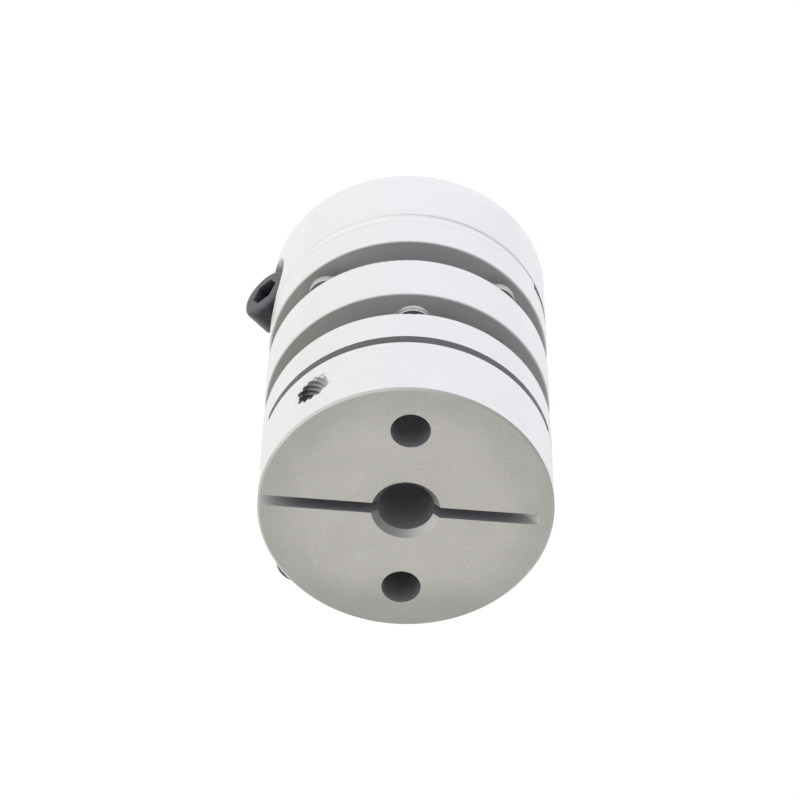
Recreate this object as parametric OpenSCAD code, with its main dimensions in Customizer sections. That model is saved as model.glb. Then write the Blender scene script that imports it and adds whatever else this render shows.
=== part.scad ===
// Double disc shaft coupling with two split clamp hubs, in millimetres.
// The coupling stands on its lower end face: +Z is the shaft axis, and the origin
// is the centre of the lower end face. X runs along the upper hub's saw slot.

/* [Body] */
// Outer diameter of the hubs and the spacer
outer_d = 26; // [24.5:0.1:29]
// Length of each hub along the shaft
hub_len = 11.6; // [11.3:0.1:15]
// Length of the centre spacer
spacer_len = 5.6; // [4.5:0.1:9]
// Chamfer on the rim of an end face
edge_chamfer = 0.2; // [0.1:0.05:0.5]
// Radius of the round edges along the two gaps
gap_round = 0.2; // [0.05:0.05:0.3]
// Turn of the lower hub and its discs against the upper ones, in degrees
hub_turn = 45; // [40:1:50]

/* [Shaft bores] */
// Bore of the upper hub
upper_bore_d = 5; // [3:0.1:8]
// Bore of the lower hub
lower_bore_d = 5; // [3:0.1:8]
// Chamfer at both mouths of a bore
bore_chamfer = 0.55; // [0.1:0.05:0.8]
// Hole through the middle of the spacer
spacer_hole_d = 9; // [6:0.1:10]

/* [Clamp cuts] */
// Length of the clamping part, from the end face to the cross slit
clamp_len = 7; // [6.8:0.1:7.4]
// Width of the axial saw slot
slot_w = 1.1; // [0.6:0.05:1.6]
// Skew of the axial saw slot against the disc screws, in degrees
slot_skew = 2; // [-3:0.5:3]
// Wall left at the closed end of the axial slot
hinge_web = 1.3; // [0.8:0.1:2.5]
// Width of the cross slit over the free half
slit_w = 1; // [0.6:0.05:1.2]
// Diameter of the saw that makes both cuts
saw_d = 44; // [32:1:60]
// Depth of the fine turned groove at the slit
groove_depth = 0.03; // [0.02:0.01:0.3]

/* [Clamp screws] */
// Thread of the clamp screw
clamp_screw_d = 3; // [2.5:0.1:3.5]
// Length of the clamp screw under its head
clamp_screw_len = 12; // [10:0.5:16]
// Diameter of the clamp screw's head
clamp_head_d = 5.5; // [4.8:0.1:5.8]
// Height of the clamp screw's head
clamp_head_h = 3; // [2:0.1:3.5]
// Hexagon socket of the clamp screw, across flats
clamp_key = 2.5; // [1.5:0.1:3]
// Depth of the clamp screw's hexagon socket
clamp_key_depth = 1.6; // [1:0.1:2]
// Round rim of the clamp screw's head
clamp_head_round = 0.6; // [0.1:0.05:0.8]
// Distance of the clamp screw from the shaft axis
clamp_offset = 8.5; // [7.8:0.1:9.2]
// Height of the clamp screw above the end face
clamp_height = 4; // [3.6:0.1:4.4]
// Distance of the head's seat from the slot's middle plane
clamp_seat = 7; // [5:0.1:8]
// How far the upper clamp screw is backed out of its seat
upper_backout = 0; // [0:0.1:2]
// How far the lower clamp screw is backed out of its seat
lower_backout = 1; // [0:0.1:2]

/* [Disc leaves] */
// Thickness of one leaf
leaf_t = 0.25; // [0.1:0.05:0.5]
// Side of the square leaf
leaf_side = 18.9; // [17:0.1:19]
// Corner radius of the leaf
leaf_corner_r = 1.8; // [1:0.1:3]
// Hole through the middle of the leaf
leaf_hole_d = 10; // [7:0.1:11]

/* [Disc screws] */
// Thread of the disc screws
disc_screw_d = 2; // [1.6:0.1:2.2]
// Length of a disc screw under its head
disc_screw_len = 5; // [4:0.1:5.4]
// Diameter of a disc screw's head
disc_head_d = 3.8; // [3.6:0.1:4.4]
// Height of a disc screw's head
disc_head_h = 2; // [1.2:0.1:2.2]
// Hexagon socket of a disc screw, across flats
disc_key = 1.5; // [1:0.1:2]
// Depth of a disc screw's hexagon socket
disc_key_depth = 1; // [0.6:0.1:1.2]
// Round rim of a disc screw's head
disc_head_round = 0.35; // [0.1:0.05:0.5]
// Diameter of the circle that the disc screws lie on
disc_circle_d = 17.1; // [16.5:0.1:17.6]
// Diameter of the washers and spacing collars
washer_d = 5; // [4.4:0.1:5.6]
// Thickness of a washer
washer_t = 0.3; // [0.2:0.05:0.6]
// Thickness of a spacing collar between the leaves and the hub
hub_collar_t = 1; // [0.8:0.05:1.6]
// Thickness of a spacing collar between the leaves and the spacer
spacer_collar_t = 1.35; // [0.8:0.05:1.6]

/* [Screw tips] */
// Chamfer at the tip of a screw
tip_chamfer = 0.3; // [0.1:0.05:0.5]

/* [Tool holes and pockets] */
// Tool hole in the end face, through to a disc screw's head
access_d = 3.5; // [2.4:0.1:3.6]
// Pocket in a hub, and hole in the spacer, that a disc screw's head stands in
pocket_d = 6; // [5:0.1:6.4]

/* [Clearances] */
// Free play of a thread in its tapped hole, on the diameter
thread_play = 0.05; // [0.02:0.01:0.1]
// Free play of a screw in a plain hole, on the diameter
hole_play = 0.3; // [0.1:0.05:0.5]
// Free play of the clamp screw's head in its seat, on the diameter
seat_play = 1.5; // [0.4:0.1:1.6]
// Room for a disc screw's head to swing in a pocket, along the axis
swing_room = 0.6; // [0.3:0.1:0.9]
// Room past the tip of a disc screw in a blind hole
tip_room = 0.3; // [0.1:0.1:0.5]

/* [Hidden] */
$fn = 72;
leaf_count = 3;
cut = 1;
outer_r = outer_d / 2;
saw_r = saw_d / 2;
disc_circle_r = disc_circle_d / 2;
pack_t = leaf_count * leaf_t;
gap = hub_collar_t + pack_t + spacer_collar_t;
pack_z = hub_len + hub_collar_t;
spacer_z = hub_len + gap;
total_len = 2 * spacer_z + spacer_len;
slit_end = clamp_len + slit_w;
slot_depth = clamp_len + slit_w / 2;
head_reach = washer_t + disc_head_h - hub_collar_t;
thread_reach = disc_screw_len - washer_t - pack_t - hub_collar_t;
clamp_hole_d = clamp_screw_d + hole_play;
disc_hole_d = disc_screw_d + hole_play;

SIDES = ["lower", "upper"];
TARGETS = ["hub", "spacer"];
PAIR = [1, 2];

// Places a piece that is drawn from its own hub's end face, which lies at z = 0
module on_side(side) {
  if (side == "lower")
    rotate([0, 0, hub_turn]) children();
  else
    translate([0, 0, total_len]) rotate([180, 0, 0]) children();
}

// The screws into the hub lie along X, those into the spacer along Y, two of each
module at_disc_screw(target, i) {
  turn = (target == "hub" ? 0 : 90) + 180 * (i - 1);
  rotate([0, 0, turn]) translate([disc_circle_r, 0, 0]) children();
}

// Turns a piece over about the middle of the disc pack, so that its head faces the hub
module facing(target) {
  if (target == "hub")
    children();
  else
    translate([0, 0, 2 * pack_z + pack_t]) rotate([180, 0, 0]) children();
}

// Rounds a chamfered outer corner of a half section, where the chamfer starts at z
module round_edge(z) {
  translate([outer_r - gap_round, z]) circle(r = gap_round);
}

// Hub

module hub_blank(bore_d) {
  bore_r = bore_d / 2;
  groove_r = outer_r - groove_depth;
  rotate_extrude() {
    polygon([
      [bore_r + bore_chamfer, 0],
      [outer_r - edge_chamfer, 0],
      [outer_r, edge_chamfer],
      [outer_r, clamp_len],
      [groove_r, clamp_len],
      [groove_r, slit_end],
      [outer_r, slit_end],
      [outer_r, hub_len - gap_round],
      [outer_r - gap_round, hub_len],
      [bore_r + bore_chamfer, hub_len],
      [bore_r, hub_len - bore_chamfer],
      [bore_r, bore_chamfer]
    ]);
    round_edge(hub_len - gap_round);
  }
}

// The saw runs in from the open side, half way into the cross slit, and its rim leaves
// a curved end at the hinge web
module axial_slot() {
  saw_up = saw_r - slot_depth;
  half_chord = sqrt(saw_r * saw_r - saw_up * saw_up);
  saw_stop = half_chord - (outer_r - hinge_web);
  rotate([0, 0, slot_skew]) {
    translate([saw_stop, 0, -saw_up])
      rotate([90, 0, 0]) cylinder(h = slot_w, r = saw_r, center = true);
    translate([saw_stop, -slot_w / 2, -cut])
      cube([outer_r - saw_stop + cut, slot_w, slot_depth + cut]);
  }
}

// The saw comes in across the free half until its rim reaches the axial slot
module cross_slit() {
  translate([0, saw_r, clamp_len]) cylinder(h = slit_w, r = saw_r);
}

// Plain hole and head seat in the fixed half, tapped hole in the free half
module clamp_screw_holes() {
  translate([clamp_offset, 0, clamp_height]) rotate([-90, 0, 0]) {
    cylinder(h = outer_r + cut, d = clamp_screw_d + thread_play);
    translate([0, 0, -outer_r]) cylinder(h = outer_r, d = clamp_hole_d);
    translate([0, 0, -outer_r - clamp_seat])
      cylinder(h = outer_r, d = clamp_head_d + seat_play);
  }
}

module hub_disc_holes() {
  for (i = PAIR) {
    tap_depth = thread_reach + tip_room;
    at_disc_screw("hub", i) translate([0, 0, hub_len - tap_depth])
      cylinder(h = tap_depth + cut, d = disc_screw_d + thread_play);
    at_disc_screw("spacer", i) {
      pocket_depth = head_reach + swing_room;
      translate([0, 0, -cut]) cylinder(h = hub_len + cut, d = access_d);
      translate([0, 0, hub_len - pocket_depth])
        cylinder(h = pocket_depth + cut, d = pocket_d);
    }
  }
}

module hub(bore_d) {
  color("gainsboro") difference() {
    hub_blank(bore_d);
    axial_slot();
    cross_slit();
    clamp_screw_holes();
    hub_disc_holes();
  }
}

// Spacer

module spacer_ring() {
  hole_r = spacer_hole_d / 2;
  rotate_extrude() {
    polygon([
      [hole_r, 0],
      [outer_r - gap_round, 0],
      [outer_r, gap_round],
      [outer_r, spacer_len - gap_round],
      [outer_r - gap_round, spacer_len],
      [hole_r, spacer_len]
    ]);
    round_edge(gap_round);
    round_edge(spacer_len - gap_round);
  }
}

// Through holes: wide ones round the heads of the hub's screws, tapped ones for its own
module spacer_disc_holes() {
  hole_d = [pocket_d, disc_screw_d + thread_play];
  for (t = [0, 1])
    for (i = PAIR)
      at_disc_screw(TARGETS[t], i) translate([0, 0, spacer_z - cut])
        cylinder(h = spacer_len + 2 * cut, d = hole_d[t]);
}

module centre_spacer() {
  color("gainsboro") difference() {
    translate([0, 0, spacer_z]) spacer_ring();
    for (s = SIDES) on_side(s) spacer_disc_holes();
  }
}

// Screws, washers and collars

// Half section of a screw head with a round rim
module head_section(d, h, round) {
  rim_r = d / 2 - round;
  rim_z = h - round;
  square([d / 2, rim_z]);
  square([rim_r, h]);
  translate([rim_r, rim_z]) circle(r = round);
}

// Socket head cap screw: the head's bearing face lies at z = 0 and the shank points down
module cap_screw(d, len, head_d, head_h, head_round, key, key_depth) {
  difference() {
    union() {
      rotate_extrude() head_section(head_d, head_h, head_round);
      rotate_extrude()
        polygon([
          [0, -len],
          [d / 2 - tip_chamfer, -len],
          [d / 2, tip_chamfer - len],
          [d / 2, 0],
          [0, 0]
        ]);
    }
    translate([0, 0, head_h - key_depth])
      cylinder(h = key_depth + cut, d = key / cos(30), $fn = 6);
  }
}

module clamp_screw(side) {
  backout = side == "lower" ? lower_backout : upper_backout;
  color("dimgray")
    translate([clamp_offset, -clamp_seat - backout, clamp_height])
      rotate([90, 0, 0])
        cap_screw(clamp_screw_d, clamp_screw_len, clamp_head_d, clamp_head_h, clamp_head_round,
          clamp_key, clamp_key_depth);
}

module disc_screw(target, i) {
  color("silver")
    at_disc_screw(target, i) facing(target)
      translate([0, 0, pack_z + pack_t + washer_t])
        cap_screw(disc_screw_d, disc_screw_len, disc_head_d, disc_head_h, disc_head_round,
          disc_key, disc_key_depth);
}

module flat_ring(thickness) {
  difference() {
    cylinder(h = thickness, d = washer_d);
    translate([0, 0, -cut]) cylinder(h = thickness + 2 * cut, d = disc_hole_d);
  }
}

module washer(target, i) {
  color("whitesmoke")
    at_disc_screw(target, i) facing(target)
      translate([0, 0, pack_z + pack_t]) flat_ring(washer_t);
}

module collar(target, i) {
  thickness = target == "hub" ? hub_collar_t : spacer_collar_t;
  color("whitesmoke")
    at_disc_screw(target, i) facing(target)
      translate([0, 0, pack_z - thickness]) flat_ring(thickness);
}

// Disc leaves

// Square with round corners, which point along X and Y
module leaf_outline() {
  corner = leaf_side / 2 - leaf_corner_r;
  rotate(45) {
    square([leaf_side, 2 * corner], center = true);
    square([2 * corner, leaf_side], center = true);
    for (x = [-corner, corner])
      for (y = [-corner, corner])
        translate([x, y]) circle(r = leaf_corner_r);
  }
}

module disc_leaf(layer) {
  color("lightsteelblue")
    translate([0, 0, pack_z + (layer - 1) * leaf_t])
      difference() {
        linear_extrude(leaf_t) leaf_outline();
        translate([0, 0, -cut]) cylinder(h = leaf_t + 2 * cut, d = leaf_hole_d);
        for (t = TARGETS)
          for (i = PAIR)
            at_disc_screw(t, i) translate([0, 0, -cut])
              cylinder(h = leaf_t + 2 * cut, d = disc_hole_d);
      }
}

// All the pieces, each under its own name

centre_spacer();
for (s = SIDES) on_side(s) {
  hub(s == "lower" ? lower_bore_d : upper_bore_d);
  clamp_screw(s);
  for (i = [1 : leaf_count])
    disc_leaf(i);
  for (t = TARGETS)
    for (i = PAIR) {
      disc_screw(t, i);
      washer(t, i);
      collar(t, i);
    }
}
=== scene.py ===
# Looks of a double disc shaft coupling: camera, studio, finishes, screw threads
import math

import bmesh
import bpy
from mathutils import Matrix, Quaternion, Vector


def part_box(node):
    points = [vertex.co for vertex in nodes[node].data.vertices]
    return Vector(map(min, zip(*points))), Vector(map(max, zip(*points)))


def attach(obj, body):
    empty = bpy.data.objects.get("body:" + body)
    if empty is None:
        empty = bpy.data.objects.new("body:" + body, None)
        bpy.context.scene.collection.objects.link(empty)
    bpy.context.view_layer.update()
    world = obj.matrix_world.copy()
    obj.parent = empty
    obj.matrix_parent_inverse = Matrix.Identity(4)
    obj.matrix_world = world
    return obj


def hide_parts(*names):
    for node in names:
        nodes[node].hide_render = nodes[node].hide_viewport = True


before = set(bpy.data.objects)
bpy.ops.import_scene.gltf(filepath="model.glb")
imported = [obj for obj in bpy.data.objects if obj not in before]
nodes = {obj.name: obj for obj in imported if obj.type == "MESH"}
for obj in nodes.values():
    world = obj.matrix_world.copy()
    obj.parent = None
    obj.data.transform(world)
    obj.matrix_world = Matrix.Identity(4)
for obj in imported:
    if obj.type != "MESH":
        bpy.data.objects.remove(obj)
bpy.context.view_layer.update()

# Sizes of the object, taken from the frame, in metres
MM = 0.001
HEAD_SLACK = 0.01 * MM
hub_low, hub_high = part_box("upper_hub")
OUTER_R = hub_high.x
TOTAL_LEN = hub_high.z
screw_low, screw_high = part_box("upper_clamp_screw")
CLAMP_HEAD_R = (screw_high.x - screw_low.x) / 2 - HEAD_SLACK
CLAMP_OFFSET = (screw_high.x + screw_low.x) / 2
CLAMP_HEIGHT = TOTAL_LEN - (screw_high.z + screw_low.z) / 2
LOWER_TURN = math.radians(45)

# Clamp screw, an M3 cap screw
THREAD_PITCH = 0.5 * MM
SCREW_R = 1.5 * MM
SCREW_ROOT_R = 1.2 * MM
HOLE_CREST_R = 1.24 * MM
HOLE_ROOT_R = 1.52 * MM
HOLE_BASE_R = 1.62 * MM
HOLE_END_SLACK = 0.015 * MM
HEAD_HEIGHT = 3.0 * MM
HEAD_ROUND = 0.6 * MM
KEY_WIDTH = 2.5 * MM
KEY_DEPTH = 1.6 * MM
KEY_CONE = 0.3 * MM
HEAD_LIP = 0.1 * MM
HEAD_ROUND_STEPS = 8
# Rings round a screw head's rim that are painted paler as a painted reflection
RIM_SHEEN_RINGS = 7

# Length of a hub's clamping part, up to the slit and the fine groove, and the groove's size
CLAMP_LEN = 7.0 * MM
GROOVE_WIDTH = 1.0 * MM
GROOVE_DEPTH = 0.03 * MM

# Round edges along the two gaps: radius, and the spacer's and the hubs' ends from the middle
GAP_ROUND = 0.2 * MM
SPACER_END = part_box("centre_spacer")[1].z - TOTAL_LEN / 2
HUB_END = hub_low.z - TOTAL_LEN / 2

# Edges of the leaves: their rounding, and how near points lie that are joined first
LEAF_EDGE = 0.07 * MM
LEAF_WELD = 0.002 * MM

# Leaves that show a fine line along their lower edge, with its strength
LEAF_SEAMS = (
    ("upper_disc_leaf_1", 0.9),
    ("upper_disc_leaf_2", 0.3),
    ("lower_disc_leaf_2", 0.2),
    ("lower_disc_leaf_3", 0.2),
)
SEAM_COLOUR = (0.04, 0.04, 0.04, 1)

# Depth of the fine grain of the finishes
ALUMINIUM_GRAIN = 0.006 * MM
STEEL_GRAIN = 0.005 * MM

# Camera, fitted to the photograph's 800 x 800 frame
CAMERA_AIM = Vector((0.664, 0.029, 18.32)) * MM
CAMERA_AZIMUTH = math.radians(2.0)
CAMERA_ELEVATION = math.radians(54.74)
CAMERA_DISTANCE = 289.77 * MM
CAMERA_ROLL = math.radians(180.943)
CAMERA_LENS = 142.28
CAMERA_SENSOR = 36.0
CAMERA_NEAR = 0.01
CAMERA_FAR = 10.0

# Studio, in metres and watts
FLOOR_HALF = 1.5
LAMP_PLACE = (0.0, 0.19, 0.30)
LAMP_SIZE = 0.2
LAMP_POWER = 0.03


def add_camera():
    data = bpy.data.cameras.new("camera")
    data.lens = CAMERA_LENS
    data.sensor_width = CAMERA_SENSOR
    data.clip_start = CAMERA_NEAR
    data.clip_end = CAMERA_FAR
    camera = bpy.data.objects.new("camera", data)
    bpy.context.scene.collection.objects.link(camera)
    level = math.cos(CAMERA_ELEVATION)
    back = Vector((
        math.sin(CAMERA_AZIMUTH) * level,
        -math.cos(CAMERA_AZIMUTH) * level,
        math.sin(CAMERA_ELEVATION),
    ))
    camera.location = CAMERA_AIM + back * CAMERA_DISTANCE
    camera.rotation_mode = "QUATERNION"
    camera.rotation_quaternion = (-back).to_track_quat("-Z", "Y") @ Quaternion((0, 0, 1), CAMERA_ROLL)
    bpy.context.scene.camera = camera


# Node helpers

def add(tree, kind, inputs=None, **settings):
    made = tree.nodes.new(kind)
    for key, value in settings.items():
        setattr(made, key, value)
    for key, value in (inputs or {}).items():
        if isinstance(value, bpy.types.NodeSocket):
            tree.links.new(value, made.inputs[key])
        else:
            made.inputs[key].default_value = value
    return made


def calc(tree, operation, a, b=0.0, c=0.0):
    return add(tree, "ShaderNodeMath", {0: a, 1: b, 2: c}, operation=operation).outputs[0]


def ramp(tree, value, low, high, out_low=0.0, out_high=1.0):
    inputs = {"Value": value, "From Min": low, "From Max": high, "To Min": out_low, "To Max": out_high}
    return add(tree, "ShaderNodeMapRange", inputs, interpolation_type="SMOOTHSTEP").outputs["Result"]


def blend_colour(tree, factor, a, b):
    made = add(tree, "ShaderNodeMix", data_type="RGBA")
    for index, value in ((0, factor), (6, a), (7, b)):
        if isinstance(value, bpy.types.NodeSocket):
            tree.links.new(value, made.inputs[index])
        else:
            made.inputs[index].default_value = value
    return made.outputs[2]


def noise(tree, vector, scale, detail=3.0, roughness=0.5):
    inputs = {"Vector": vector, "Scale": scale, "Detail": detail, "Roughness": roughness}
    return add(tree, "ShaderNodeTexNoise", inputs).outputs["Fac"]


def stretch(tree, vector, shares):
    return add(tree, "ShaderNodeVectorMath", {0: vector, 1: shares}, operation="MULTIPLY").outputs[0]


# Metal, with its texture coordinates and the place on the object in millimetres
def new_material(name):
    material = bpy.data.materials.new(name)
    material.use_nodes = True
    tree = material.node_tree
    shader = tree.nodes["Principled BSDF"]
    shader.inputs["Metallic"].default_value = 1.0
    coords = add(tree, "ShaderNodeTexCoord")
    place = stretch(tree, coords.outputs["Object"], (1 / MM,) * 3)
    return material, tree, shader, coords, place


# Finishes

# Normal of the round edges along the gaps, worked out from the place, so that they shade evenly.
# The low walls of the fine groove take the side's normal, and where they are is given too
def round_edge_normal(tree, x, y, radius, above_middle):
    from_middle = calc(tree, "ABSOLUTE", above_middle)
    spacer_rise = calc(tree, "SUBTRACT", from_middle, (SPACER_END - GAP_ROUND) / MM)
    hub_rise = calc(tree, "SUBTRACT", from_middle, (HUB_END + GAP_ROUND) / MM)
    at_hub = calc(tree, "GREATER_THAN", from_middle, (SPACER_END + HUB_END) / 2 / MM)
    at_spacer = calc(tree, "SUBTRACT", 1.0, at_hub)
    spacer_rise = calc(tree, "MULTIPLY", calc(tree, "MAXIMUM", spacer_rise, 0.0), at_spacer)
    hub_rise = calc(tree, "MULTIPLY", calc(tree, "MINIMUM", hub_rise, 0.0), at_hub)
    rise = calc(tree, "ADD", spacer_rise, hub_rise)
    out = calc(tree, "SUBTRACT", radius, (OUTER_R - GAP_ROUND) / MM)
    share = calc(tree, "DIVIDE", out, radius)
    parts = {
        "X": calc(tree, "MULTIPLY", x, share),
        "Y": calc(tree, "MULTIPLY", y, share),
        "Z": calc(tree, "MULTIPLY", rise, calc(tree, "SIGN", above_middle)),
    }
    exact = add(tree, "ShaderNodeCombineXYZ", parts).outputs[0]
    exact = add(tree, "ShaderNodeVectorTransform", {0: exact}, vector_type="NORMAL",
                convert_from="OBJECT", convert_to="WORLD").outputs[0]
    exact = add(tree, "ShaderNodeVectorMath", {0: exact}, operation="NORMALIZE").outputs[0]
    on_edge = calc(tree, "MULTIPLY", calc(tree, "GREATER_THAN", out, 0.0),
                   calc(tree, "GREATER_THAN", calc(tree, "ABSOLUTE", rise), 0.001))
    groove_middle = (TOTAL_LEN / 2 - CLAMP_LEN - GROOVE_WIDTH / 2) / MM
    by_groove = calc(tree, "ABSOLUTE", calc(tree, "SUBTRACT", from_middle, groove_middle))
    by_wall = calc(tree, "ABSOLUTE", calc(tree, "SUBTRACT", by_groove, GROOVE_WIDTH / 2 / MM))
    on_wall = calc(tree, "MULTIPLY", calc(tree, "LESS_THAN", by_wall, 0.01),
                   calc(tree, "GREATER_THAN", out, (GAP_ROUND - GROOVE_DEPTH) / MM - 0.005))
    on_edge = calc(tree, "MAXIMUM", on_edge, on_wall)
    plain = add(tree, "ShaderNodeNewGeometry").outputs["Normal"]
    return blend_colour(tree, on_edge, plain, exact), on_wall


def satin_aluminium():
    material, tree, shader, coords, place = new_material("satin_aluminium")
    split = add(tree, "ShaderNodeSeparateXYZ", {0: place})
    x, y, z = split.outputs
    normal = add(tree, "ShaderNodeSeparateXYZ", {0: coords.outputs["Normal"]})
    tilt = calc(tree, "ABSOLUTE", normal.outputs["Z"])
    level = ramp(tree, tilt, 0.85, 0.95)
    slanted = ramp(tree, tilt, 0.3, 0.5)
    radius = calc(tree, "SQRT", calc(tree, "ADD", calc(tree, "MULTIPLY", x, x), calc(tree, "MULTIPLY", y, y)))

    # Turned outside, end faces, and the faces inside the cuts and gaps, which are darker as painted shade
    outer = OUTER_R / MM
    half = TOTAL_LEN / MM / 2
    above_middle = calc(tree, "SUBTRACT", z, half)
    from_middle = calc(tree, "ABSOLUTE", above_middle)
    end_face = calc(tree, "MULTIPLY", ramp(tree, from_middle, half - 0.04, half - 0.02), level)
    end_rim_at = calc(tree, "MULTIPLY", ramp(tree, from_middle, half - 0.3, half - 0.25),
                      ramp(tree, radius, outer - 0.3, outer - 0.25))
    end_rim = calc(tree, "MULTIPLY", end_rim_at, slanted)
    outside = ramp(tree, radius, outer - 0.21, outer - 0.19)
    outside = calc(tree, "MULTIPLY", outside, calc(tree, "SUBTRACT", 1.0, end_rim))
    in_slot = ramp(tree, calc(tree, "ABSOLUTE", y), 0.35 * outer, 0.55 * outer, 1.0, 0.0)

    grain = noise(tree, place, 9.0, 2.0)
    mottle = noise(tree, place, 0.32, 4.0, 0.55)
    lathe = ramp(tree, noise(tree, stretch(tree, place, (0.05, 0.05, 1.0)), 7.0, 2.0), 0.3, 0.7)
    # Painted reflection tint across the turned side: bluish for -X and the middle, warmer towards +X; the
    # lathe lines are the finish's own
    across = ramp(tree, x, 0.0, outer * 0.6)
    dull = blend_colour(tree, across, (0.872, 0.882, 0.912, 1), (0.89, 0.89, 0.884, 1))
    bright = blend_colour(tree, across, (0.902, 0.912, 0.942, 1), (0.92, 0.92, 0.914, 1))
    side = blend_colour(tree, lathe, dull, bright)

    # Fine groove of the lower hub: painted shade as a soft line along both edges, darker towards -X, and a
    # painted highlight as a glint on its floor
    from_end = calc(tree, "SUBTRACT", half, from_middle)
    past_edge = calc(tree, "SUBTRACT", from_end, CLAMP_LEN / MM)
    at_lower = calc(tree, "LESS_THAN", above_middle, 0.0)
    groove_shade_paler = ramp(tree, x, -0.46 * outer, 0.46 * outer)
    shade = blend_colour(tree, groove_shade_paler, (0.69, 0.695, 0.71, 1), (0.882, 0.882, 0.878, 1))
    from_painted_highlight = calc(tree, "ABSOLUTE", calc(tree, "SUBTRACT", x, 0.4 * outer))
    painted_highlight = ramp(tree, from_painted_highlight, 0.1 * outer, 0.4 * outer, 0.45, 0.0)
    groove_painted_shade_lines = (
        (0.55, 0.36, painted_highlight, (1, 1, 1, 1)),
        (0.07, 0.36, 1.0, shade),
        (1.2, 0.3, 0.9, (0.855, 0.857, 0.858, 1)),
    )
    for at, reach, strength, tone in groove_painted_shade_lines:
        away = calc(tree, "ABSOLUTE", calc(tree, "SUBTRACT", past_edge, at))
        line = calc(tree, "MULTIPLY", ramp(tree, away, 0.08, reach, 1.0, 0.0), strength)
        side = blend_colour(tree, calc(tree, "MULTIPLY", line, at_lower), side, tone)

    # End faces with fine specks and a random tint, and painted shade that darkens them towards the rim and
    # towards +Y
    tint = ramp(tree, noise(tree, place, 1.4, 3.0, 0.6), 0.35, 0.65)
    face = blend_colour(tree, tint, (0.88, 0.856, 0.84, 1), (0.856, 0.858, 0.838, 1))
    face = blend_colour(tree, ramp(tree, radius, outer * 0.6, outer), face, (0.74, 0.735, 0.715, 1))
    face = blend_colour(tree, ramp(tree, y, outer * 0.45, outer), face, (0.64, 0.635, 0.615, 1))
    fine_specks = noise(tree, place, 3.2, 4.0, 0.75)
    specks = calc(tree, "MULTIPLY_ADD", mottle, 0.4, calc(tree, "MULTIPLY", fine_specks, 0.6))
    value = ramp(tree, specks, 0.3, 0.7, 0.93, 1.07)
    face = add(tree, "ShaderNodeHueSaturation", {"Value": value, "Color": face}).outputs[0]

    # Walls of the gaps in painted shade; chamfers paler towards -X and darker towards +X as painted light and
    # shade; floors of the saw cuts with painted light near the slot and darker away from it; and holes in
    # painted shade with painted light towards their mouths
    shaded_wall = blend_colour(tree, across, (0.77, 0.765, 0.795, 1), (0.775, 0.77, 0.755, 1))
    shaded_wall = blend_colour(tree, ramp(tree, grain, 0.3, 0.7, 0.0, 0.3), shaded_wall, (0.69, 0.69, 0.70, 1))
    bevel = blend_colour(tree, ramp(tree, x, -2.6, 1.0), (0.62, 0.61, 0.60, 1), (0.42, 0.42, 0.43, 1))
    cut_floor_light_and_shade = blend_colour(tree, in_slot, (0.46, 0.45, 0.45, 1), (0.84, 0.83, 0.81, 1))
    bevel = blend_colour(tree, ramp(tree, radius, outer * 0.25, outer * 0.4), bevel, cut_floor_light_and_shade)
    bevel = blend_colour(tree, end_rim_at, bevel, (0.72, 0.72, 0.71, 1))
    shaded_hole = blend_colour(tree, ramp(tree, grain, 0.3, 0.7), (0.55, 0.55, 0.59, 1), (0.62, 0.62, 0.66, 1))
    lit_mouth = calc(tree, "MULTIPLY", ramp(tree, radius, 0.65 * outer, outer), in_slot)
    lit_mouth = calc(tree, "MAXIMUM", ramp(tree, radius, outer - 1.0, outer - 0.1), lit_mouth)
    shaded_hole = blend_colour(tree, lit_mouth, shaded_hole, (0.86, 0.86, 0.86, 1))
    inside = blend_colour(tree, level, blend_colour(tree, slanted, shaded_hole, bevel), shaded_wall)
    colour = blend_colour(tree, outside, inside, side)
    colour = blend_colour(tree, end_face, colour, face)
    tree.links.new(colour, shader.inputs["Base Color"])

    # Rougher in the cuts, smoother on chamfers and groove walls, and matt on the slot's floor
    smooth = ramp(tree, grain, 0.25, 0.75, 0.40, 0.52)
    shown = calc(tree, "MAXIMUM", outside, end_face)
    sawn = calc(tree, "MULTIPLY_ADD", calc(tree, "SUBTRACT", 1.0, shown), 0.2, smooth)
    within = calc(tree, "SUBTRACT", 1.0, outside)
    turned = calc(tree, "MULTIPLY", calc(tree, "SUBTRACT", slanted, level), within)
    sawn = calc(tree, "MULTIPLY_ADD", turned, -0.3, sawn)
    even, on_wall = round_edge_normal(tree, x, y, radius, above_middle)
    sawn = calc(tree, "MULTIPLY", sawn, calc(tree, "MULTIPLY_ADD", on_wall, -0.9, 1.0))
    tree.links.new(sawn, shader.inputs["Roughness"])
    matt = calc(tree, "MULTIPLY", turned, in_slot)
    matt = calc(tree, "MULTIPLY", matt, ramp(tree, radius, outer * 0.25, outer * 0.4, 0.0, 0.8))
    tree.links.new(calc(tree, "SUBTRACT", 1.0, matt), shader.inputs["Metallic"])
    relief = {"Strength": 0.2, "Distance": ALUMINIUM_GRAIN, "Height": grain, "Normal": even}
    bump = add(tree, "ShaderNodeBump", relief)
    tree.links.new(bump.outputs[0], shader.inputs["Normal"])
    return material


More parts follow.
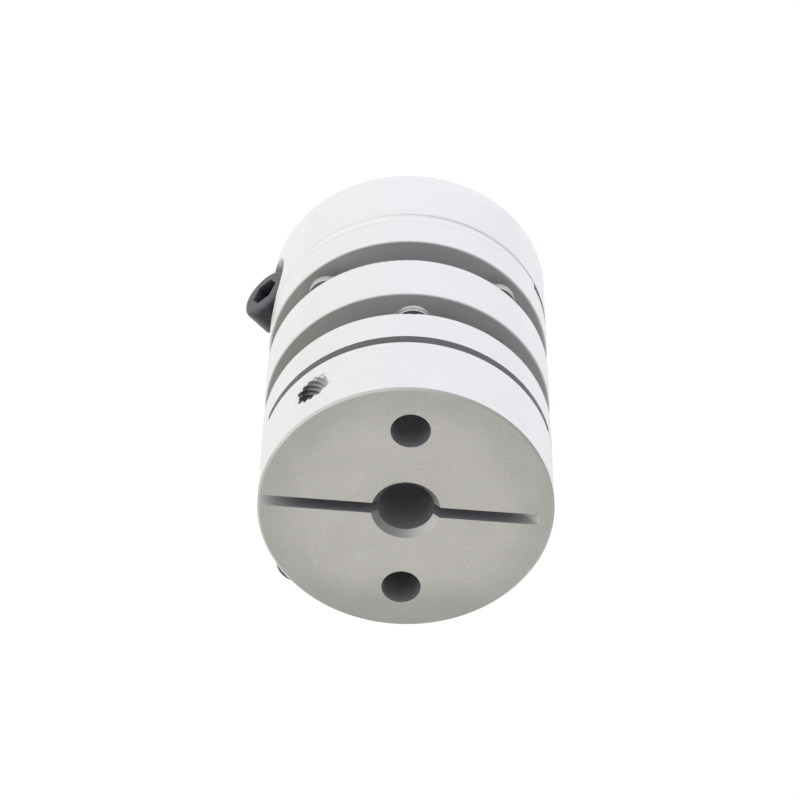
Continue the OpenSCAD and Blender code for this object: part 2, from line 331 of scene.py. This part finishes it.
# The attribute that marks a screw head's rim is 1 round the rim of the head, where the black finish is
# painted paler as a painted reflection.
# Seams are the heights at which two leaves meet, each with the strength of its line
def steel(name, dark, light, roughness, scale, relief, rim_sheen=None, seams=()):
    material, tree, shader, _, place = new_material(name)
    grain = ramp(tree, noise(tree, place, scale, 3.0), 0.3, 0.7)
    sheen_share = add(tree, "ShaderNodeAttribute", attribute_name="rim_sheen").outputs["Fac"]
    colour = blend_colour(tree, sheen_share, blend_colour(tree, grain, dark, light), rim_sheen or light)
    z = add(tree, "ShaderNodeSeparateXYZ", {0: place}).outputs[2]
    for seam, strength in seams:
        away = calc(tree, "ABSOLUTE", calc(tree, "SUBTRACT", z, seam / MM))
        line = ramp(tree, away, 0.03, 0.07, strength, 0.0)
        colour = blend_colour(tree, line, colour, SEAM_COLOUR)
    tree.links.new(colour, shader.inputs["Base Color"])
    tree.links.new(ramp(tree, grain, 0.0, 1.0, *roughness), shader.inputs["Roughness"])
    bump = add(tree, "ShaderNodeBump", {"Strength": relief, "Distance": STEEL_GRAIN, "Height": grain})
    tree.links.new(bump.outputs[0], shader.inputs["Normal"])
    return material


# Studio

def add_stage():
    material = bpy.data.materials.new("pale_floor")
    material.use_nodes = True
    tree = material.node_tree
    tree.nodes.clear()
    path = add(tree, "ShaderNodeLightPath")
    seen = calc(tree, "MAXIMUM", path.outputs["Is Camera Ray"], path.outputs["Is Glossy Ray"])
    seen = calc(tree, "MAXIMUM", seen, path.outputs["Is Transmission Ray"])
    glow = add(tree, "ShaderNodeEmission", {"Color": (1, 1, 1, 1), "Strength": 0.93})
    shade = add(tree, "ShaderNodeBsdfDiffuse", {"Color": (0.2, 0.2, 0.2, 1)})
    shown = add(tree, "ShaderNodeAddShader", {0: glow.outputs[0], 1: shade.outputs[0]})
    plain = add(tree, "ShaderNodeBsdfDiffuse", {"Color": (0.8, 0.8, 0.8, 1)})
    mix = add(tree, "ShaderNodeMixShader", {0: seen, 1: plain.outputs[0], 2: shown.outputs[0]})
    output = add(tree, "ShaderNodeOutputMaterial")
    tree.links.new(mix.outputs[0], output.inputs["Surface"])
    mesh = bpy.data.meshes.new("floor")
    corners = [(x * FLOOR_HALF, y * FLOOR_HALF, 0) for x, y in ((-1, -1), (1, -1), (1, 1), (-1, 1))]
    mesh.from_pydata(corners, [], [(0, 1, 2, 3)])
    floor = bpy.data.objects.new("floor", mesh)
    bpy.context.scene.collection.objects.link(floor)
    mesh.materials.append(material)


def add_world():
    world = bpy.data.worlds.new("studio")
    bpy.context.scene.world = world
    world.use_nodes = True
    tree = world.node_tree
    coords = add(tree, "ShaderNodeTexCoord")
    x, y, z = add(tree, "ShaderNodeSeparateXYZ", {0: coords.outputs["Generated"]}).outputs
    height = calc(tree, "MULTIPLY_ADD", y, 0.35, calc(tree, "MULTIPLY_ADD", x, -0.35, z))
    sky = blend_colour(tree, ramp(tree, height, 0.05, 0.5), (1, 1, 1, 1), (0.42, 0.412, 0.39, 1))
    tree.links.new(sky, tree.nodes["Background"].inputs["Color"])


def add_lamp(name, location, size, power):
    data = bpy.data.lights.new(name, "AREA")
    data.size = size
    data.energy = power
    lamp = bpy.data.objects.new(name, data)
    lamp.location = location
    aim = Vector((0, 0, TOTAL_LEN / 2)) - Vector(location)
    lamp.rotation_mode = "QUATERNION"
    lamp.rotation_quaternion = aim.to_track_quat("-Z", "Y")
    bpy.context.scene.collection.objects.link(lamp)


# Clamp screws and their threads

# From a hub's own frame, with its end face at z = 0, to the coupling's frame
PLACES = {
    "upper": Matrix.Translation((0, 0, TOTAL_LEN)) @ Matrix.Rotation(math.pi, 4, "X"),
    "lower": Matrix.Rotation(LOWER_TURN, 4, "Z"),
}


# Lowest and highest place of a node along its hub's own Y, the clamp screw's axis
def span_along_screw(node, place):
    back = place.inverted()
    along = [(back @ vertex.co).y for vertex in nodes[node].data.vertices]
    return min(along), max(along)


# Radius of a thread at a phase counted in pitches
def thread_radius(phase, root, crest):
    flat = 0.15
    rise = abs((phase % 1.0) * 2 - 1)
    share = min(max((rise - flat) / (1 - 2 * flat), 0.0), 1.0)
    return root + (crest - root) * share


# Skins a row of rings, each with as many points as the next
def skin(made, rings):
    rows = [[made.verts.new(point) for point in ring] for ring in rings]
    for low, high in zip(rows, rows[1:]):
        for i in range(len(low)):
            j = (i + 1) % len(low)
            made.faces.new((low[i], low[j], high[j], high[i]))
    return rows


def close_ring(made, ring, centre):
    middle = made.verts.new(centre)
    for i in range(len(ring)):
        made.faces.new((ring[i], ring[(i + 1) % len(ring)], middle))


def finish_piece(made, name, slot, place):
    bmesh.ops.recalc_face_normals(made, faces=made.faces)
    made.transform(place)
    mesh = bpy.data.meshes.new(name)
    made.to_mesh(mesh)
    made.free()
    mesh.shade_smooth()
    mesh.set_sharp_from_angle(angle=math.radians(35))
    piece = bpy.data.objects.new(name, mesh)
    bpy.context.scene.collection.objects.link(piece)
    mesh.materials.append(finishes[slot])
    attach(piece, "root")
    return piece


# Thread of a tapped clamp hole, from the tip of the screw out to the hub's round side
def tapped_thread(side):
    place = PLACES[side]
    start = span_along_screw(side + "_clamp_screw", place)[1]
    sides = 64
    steps = 120
    rim_r = OUTER_R - HOLE_END_SLACK

    def exit_at(across):
        return math.sqrt(rim_r ** 2 - across ** 2)

    turns = [2 * math.pi * i / sides for i in range(sides)]
    rings = []
    for k in range(steps + 1):
        ring = []
        for turn in turns:
            widest = max(HOLE_CREST_R * math.cos(turn), HOLE_ROOT_R * math.cos(turn))
            along = start + (exit_at(CLAMP_OFFSET + widest) - start) * k / steps
            r = thread_radius(along / THREAD_PITCH + turn / (2 * math.pi), HOLE_CREST_R, HOLE_ROOT_R)
            across = CLAMP_OFFSET + r * math.cos(turn)
            if k == steps:
                along = exit_at(across)
            ring.append((across, along, CLAMP_HEIGHT + r * math.sin(turn)))
        rings.append(ring)
    for k in (steps, 0):
        ring = []
        for turn in turns:
            across = CLAMP_OFFSET + HOLE_BASE_R * math.cos(turn)
            along = exit_at(across) if k else start
            ring.append((across, along, CLAMP_HEIGHT + HOLE_BASE_R * math.sin(turn)))
        rings.append(ring)
    made = bmesh.new()
    rows = skin(made, rings)
    for i in range(sides):
        j = (i + 1) % sides
        made.faces.new((rows[-1][i], rows[-1][j], rows[0][j], rows[0][i]))
    finish_piece(made, side + "_clamp_thread", "aluminium", place)


# Socket head cap screw with its thread: the head's bearing face at z = 0, the shank pointing down
def clamp_screw(side):
    place = PLACES[side]
    node = side + "_clamp_screw"
    head_end, tip = span_along_screw(node, place)
    length = tip - head_end - HEAD_HEIGHT
    sides = 48
    turns = [2 * math.pi * i / sides for i in range(sides)]
    sixth = math.pi / 3

    def circle(r, z):
        return [(r * math.cos(t), r * math.sin(t), z) for t in turns]

    def hexagon(width, z):
        reach = [width / 2 / math.cos(t % sixth - sixth / 2) for t in turns]
        return [(r * math.cos(t), r * math.sin(t), z) for r, t in zip(reach, turns)]

    floor = HEAD_HEIGHT - KEY_DEPTH
    rings = [
        hexagon(KEY_WIDTH, floor),
        hexagon(KEY_WIDTH, HEAD_HEIGHT - HEAD_LIP),
        hexagon(KEY_WIDTH + HEAD_LIP, HEAD_HEIGHT),
    ]
    for k in range(HEAD_ROUND_STEPS + 1):
        bend = math.pi / 2 * k / HEAD_ROUND_STEPS
        inset = HEAD_ROUND * (1 - math.sin(bend))
        drop = HEAD_ROUND * (1 - math.cos(bend))
        rings.append(circle(CLAMP_HEAD_R - inset, HEAD_HEIGHT - drop))
    rings.append(circle(CLAMP_HEAD_R, HEAD_LIP))
    rings.append(circle(CLAMP_HEAD_R - HEAD_LIP, 0))
    rings.append(circle(SCREW_R, 0))
    step = THREAD_PITCH / 10
    for k in range(2, int(round(length / step)) + 1):
        depth = k * step
        ring = []
        for t in turns:
            r = thread_radius(-depth / THREAD_PITCH - t / (2 * math.pi), SCREW_ROOT_R, SCREW_R)
            r = max(r, SCREW_R - 0.3 * depth)
            r = min(r, SCREW_ROOT_R + length - depth)
            ring.append((r * math.cos(t), r * math.sin(t), -depth))
        rings.append(ring)
    made = bmesh.new()
    rim_sheen = made.verts.layers.float.new("rim_sheen")
    rows = skin(made, rings)
    # Painted reflection: the rings round the head's rim are marked for the paler colour
    for row in rows[:RIM_SHEEN_RINGS]:
        for vertex in row:
            vertex[rim_sheen] = 1.0
    close_ring(made, rows[0], (0, 0, floor - KEY_CONE))
    close_ring(made, rows[-1], (0, 0, -length))
    bearing = (CLAMP_OFFSET, head_end + HEAD_HEIGHT, CLAMP_HEIGHT)
    seat = Matrix.Translation(bearing) @ Matrix.Rotation(math.pi / 2, 4, "X")
    piece = finish_piece(made, side + "_threaded_screw", "black_steel", place @ seat)
    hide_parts(node)


# Small round edges, which show as fine lines where thin leaves lie on each other
def soften_edges(piece):
    weld = piece.modifiers.new("weld", "WELD")
    weld.merge_threshold = LEAF_WELD
    flat = piece.modifiers.new("flat", "DECIMATE")
    flat.decimate_type = "DISSOLVE"
    flat.angle_limit = math.radians(1)
    bevel = piece.modifiers.new("bevel", "BEVEL")
    bevel.width = LEAF_EDGE
    bevel.segments = 2
    bevel.limit_method = "ANGLE"
    bevel.angle_limit = math.radians(40)


bpy.context.scene.view_settings.view_transform = "Standard"
add_camera()
add_stage()
add_world()
add_lamp("key_light", LAMP_PLACE, LAMP_SIZE, LAMP_POWER)

finishes = {
    "aluminium": satin_aluminium(),
    "black_steel": steel(
        "black_oxide",
        dark=(0.075, 0.074, 0.08, 1),
        light=(0.115, 0.115, 0.125, 1),
        roughness=(0.36, 0.46),
        scale=5.0,
        relief=0.15,
        # Paler colour of the painted reflection round the heads' rims
        rim_sheen=(0.128, 0.133, 0.148, 1),
    ),
    "leaf_steel": steel(
        "leaf_stainless",
        dark=(0.60, 0.595, 0.58, 1),
        light=(0.65, 0.645, 0.63, 1),
        roughness=(0.26, 0.30),
        scale=1.5,
        relief=0.03,
        seams=[(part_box(leaf)[0].z, strength) for leaf, strength in LEAF_SEAMS],
    ),
    "bright_steel": steel(
        "bright_stainless",
        dark=(0.60, 0.595, 0.585, 1),
        light=(0.66, 0.655, 0.645, 1),
        roughness=(0.28, 0.34),
        scale=2.0,
        relief=0.03,
    ),
}
for piece in nodes.values():
    for slot in piece.material_slots:
        slot.material = finishes[slot.material.name]

for side in ("upper", "lower"):
    tapped_thread(side)
    clamp_screw(side)
    for layer in (1, 2, 3):
        soften_edges(nodes[side + "_disc_leaf_" + str(layer)])
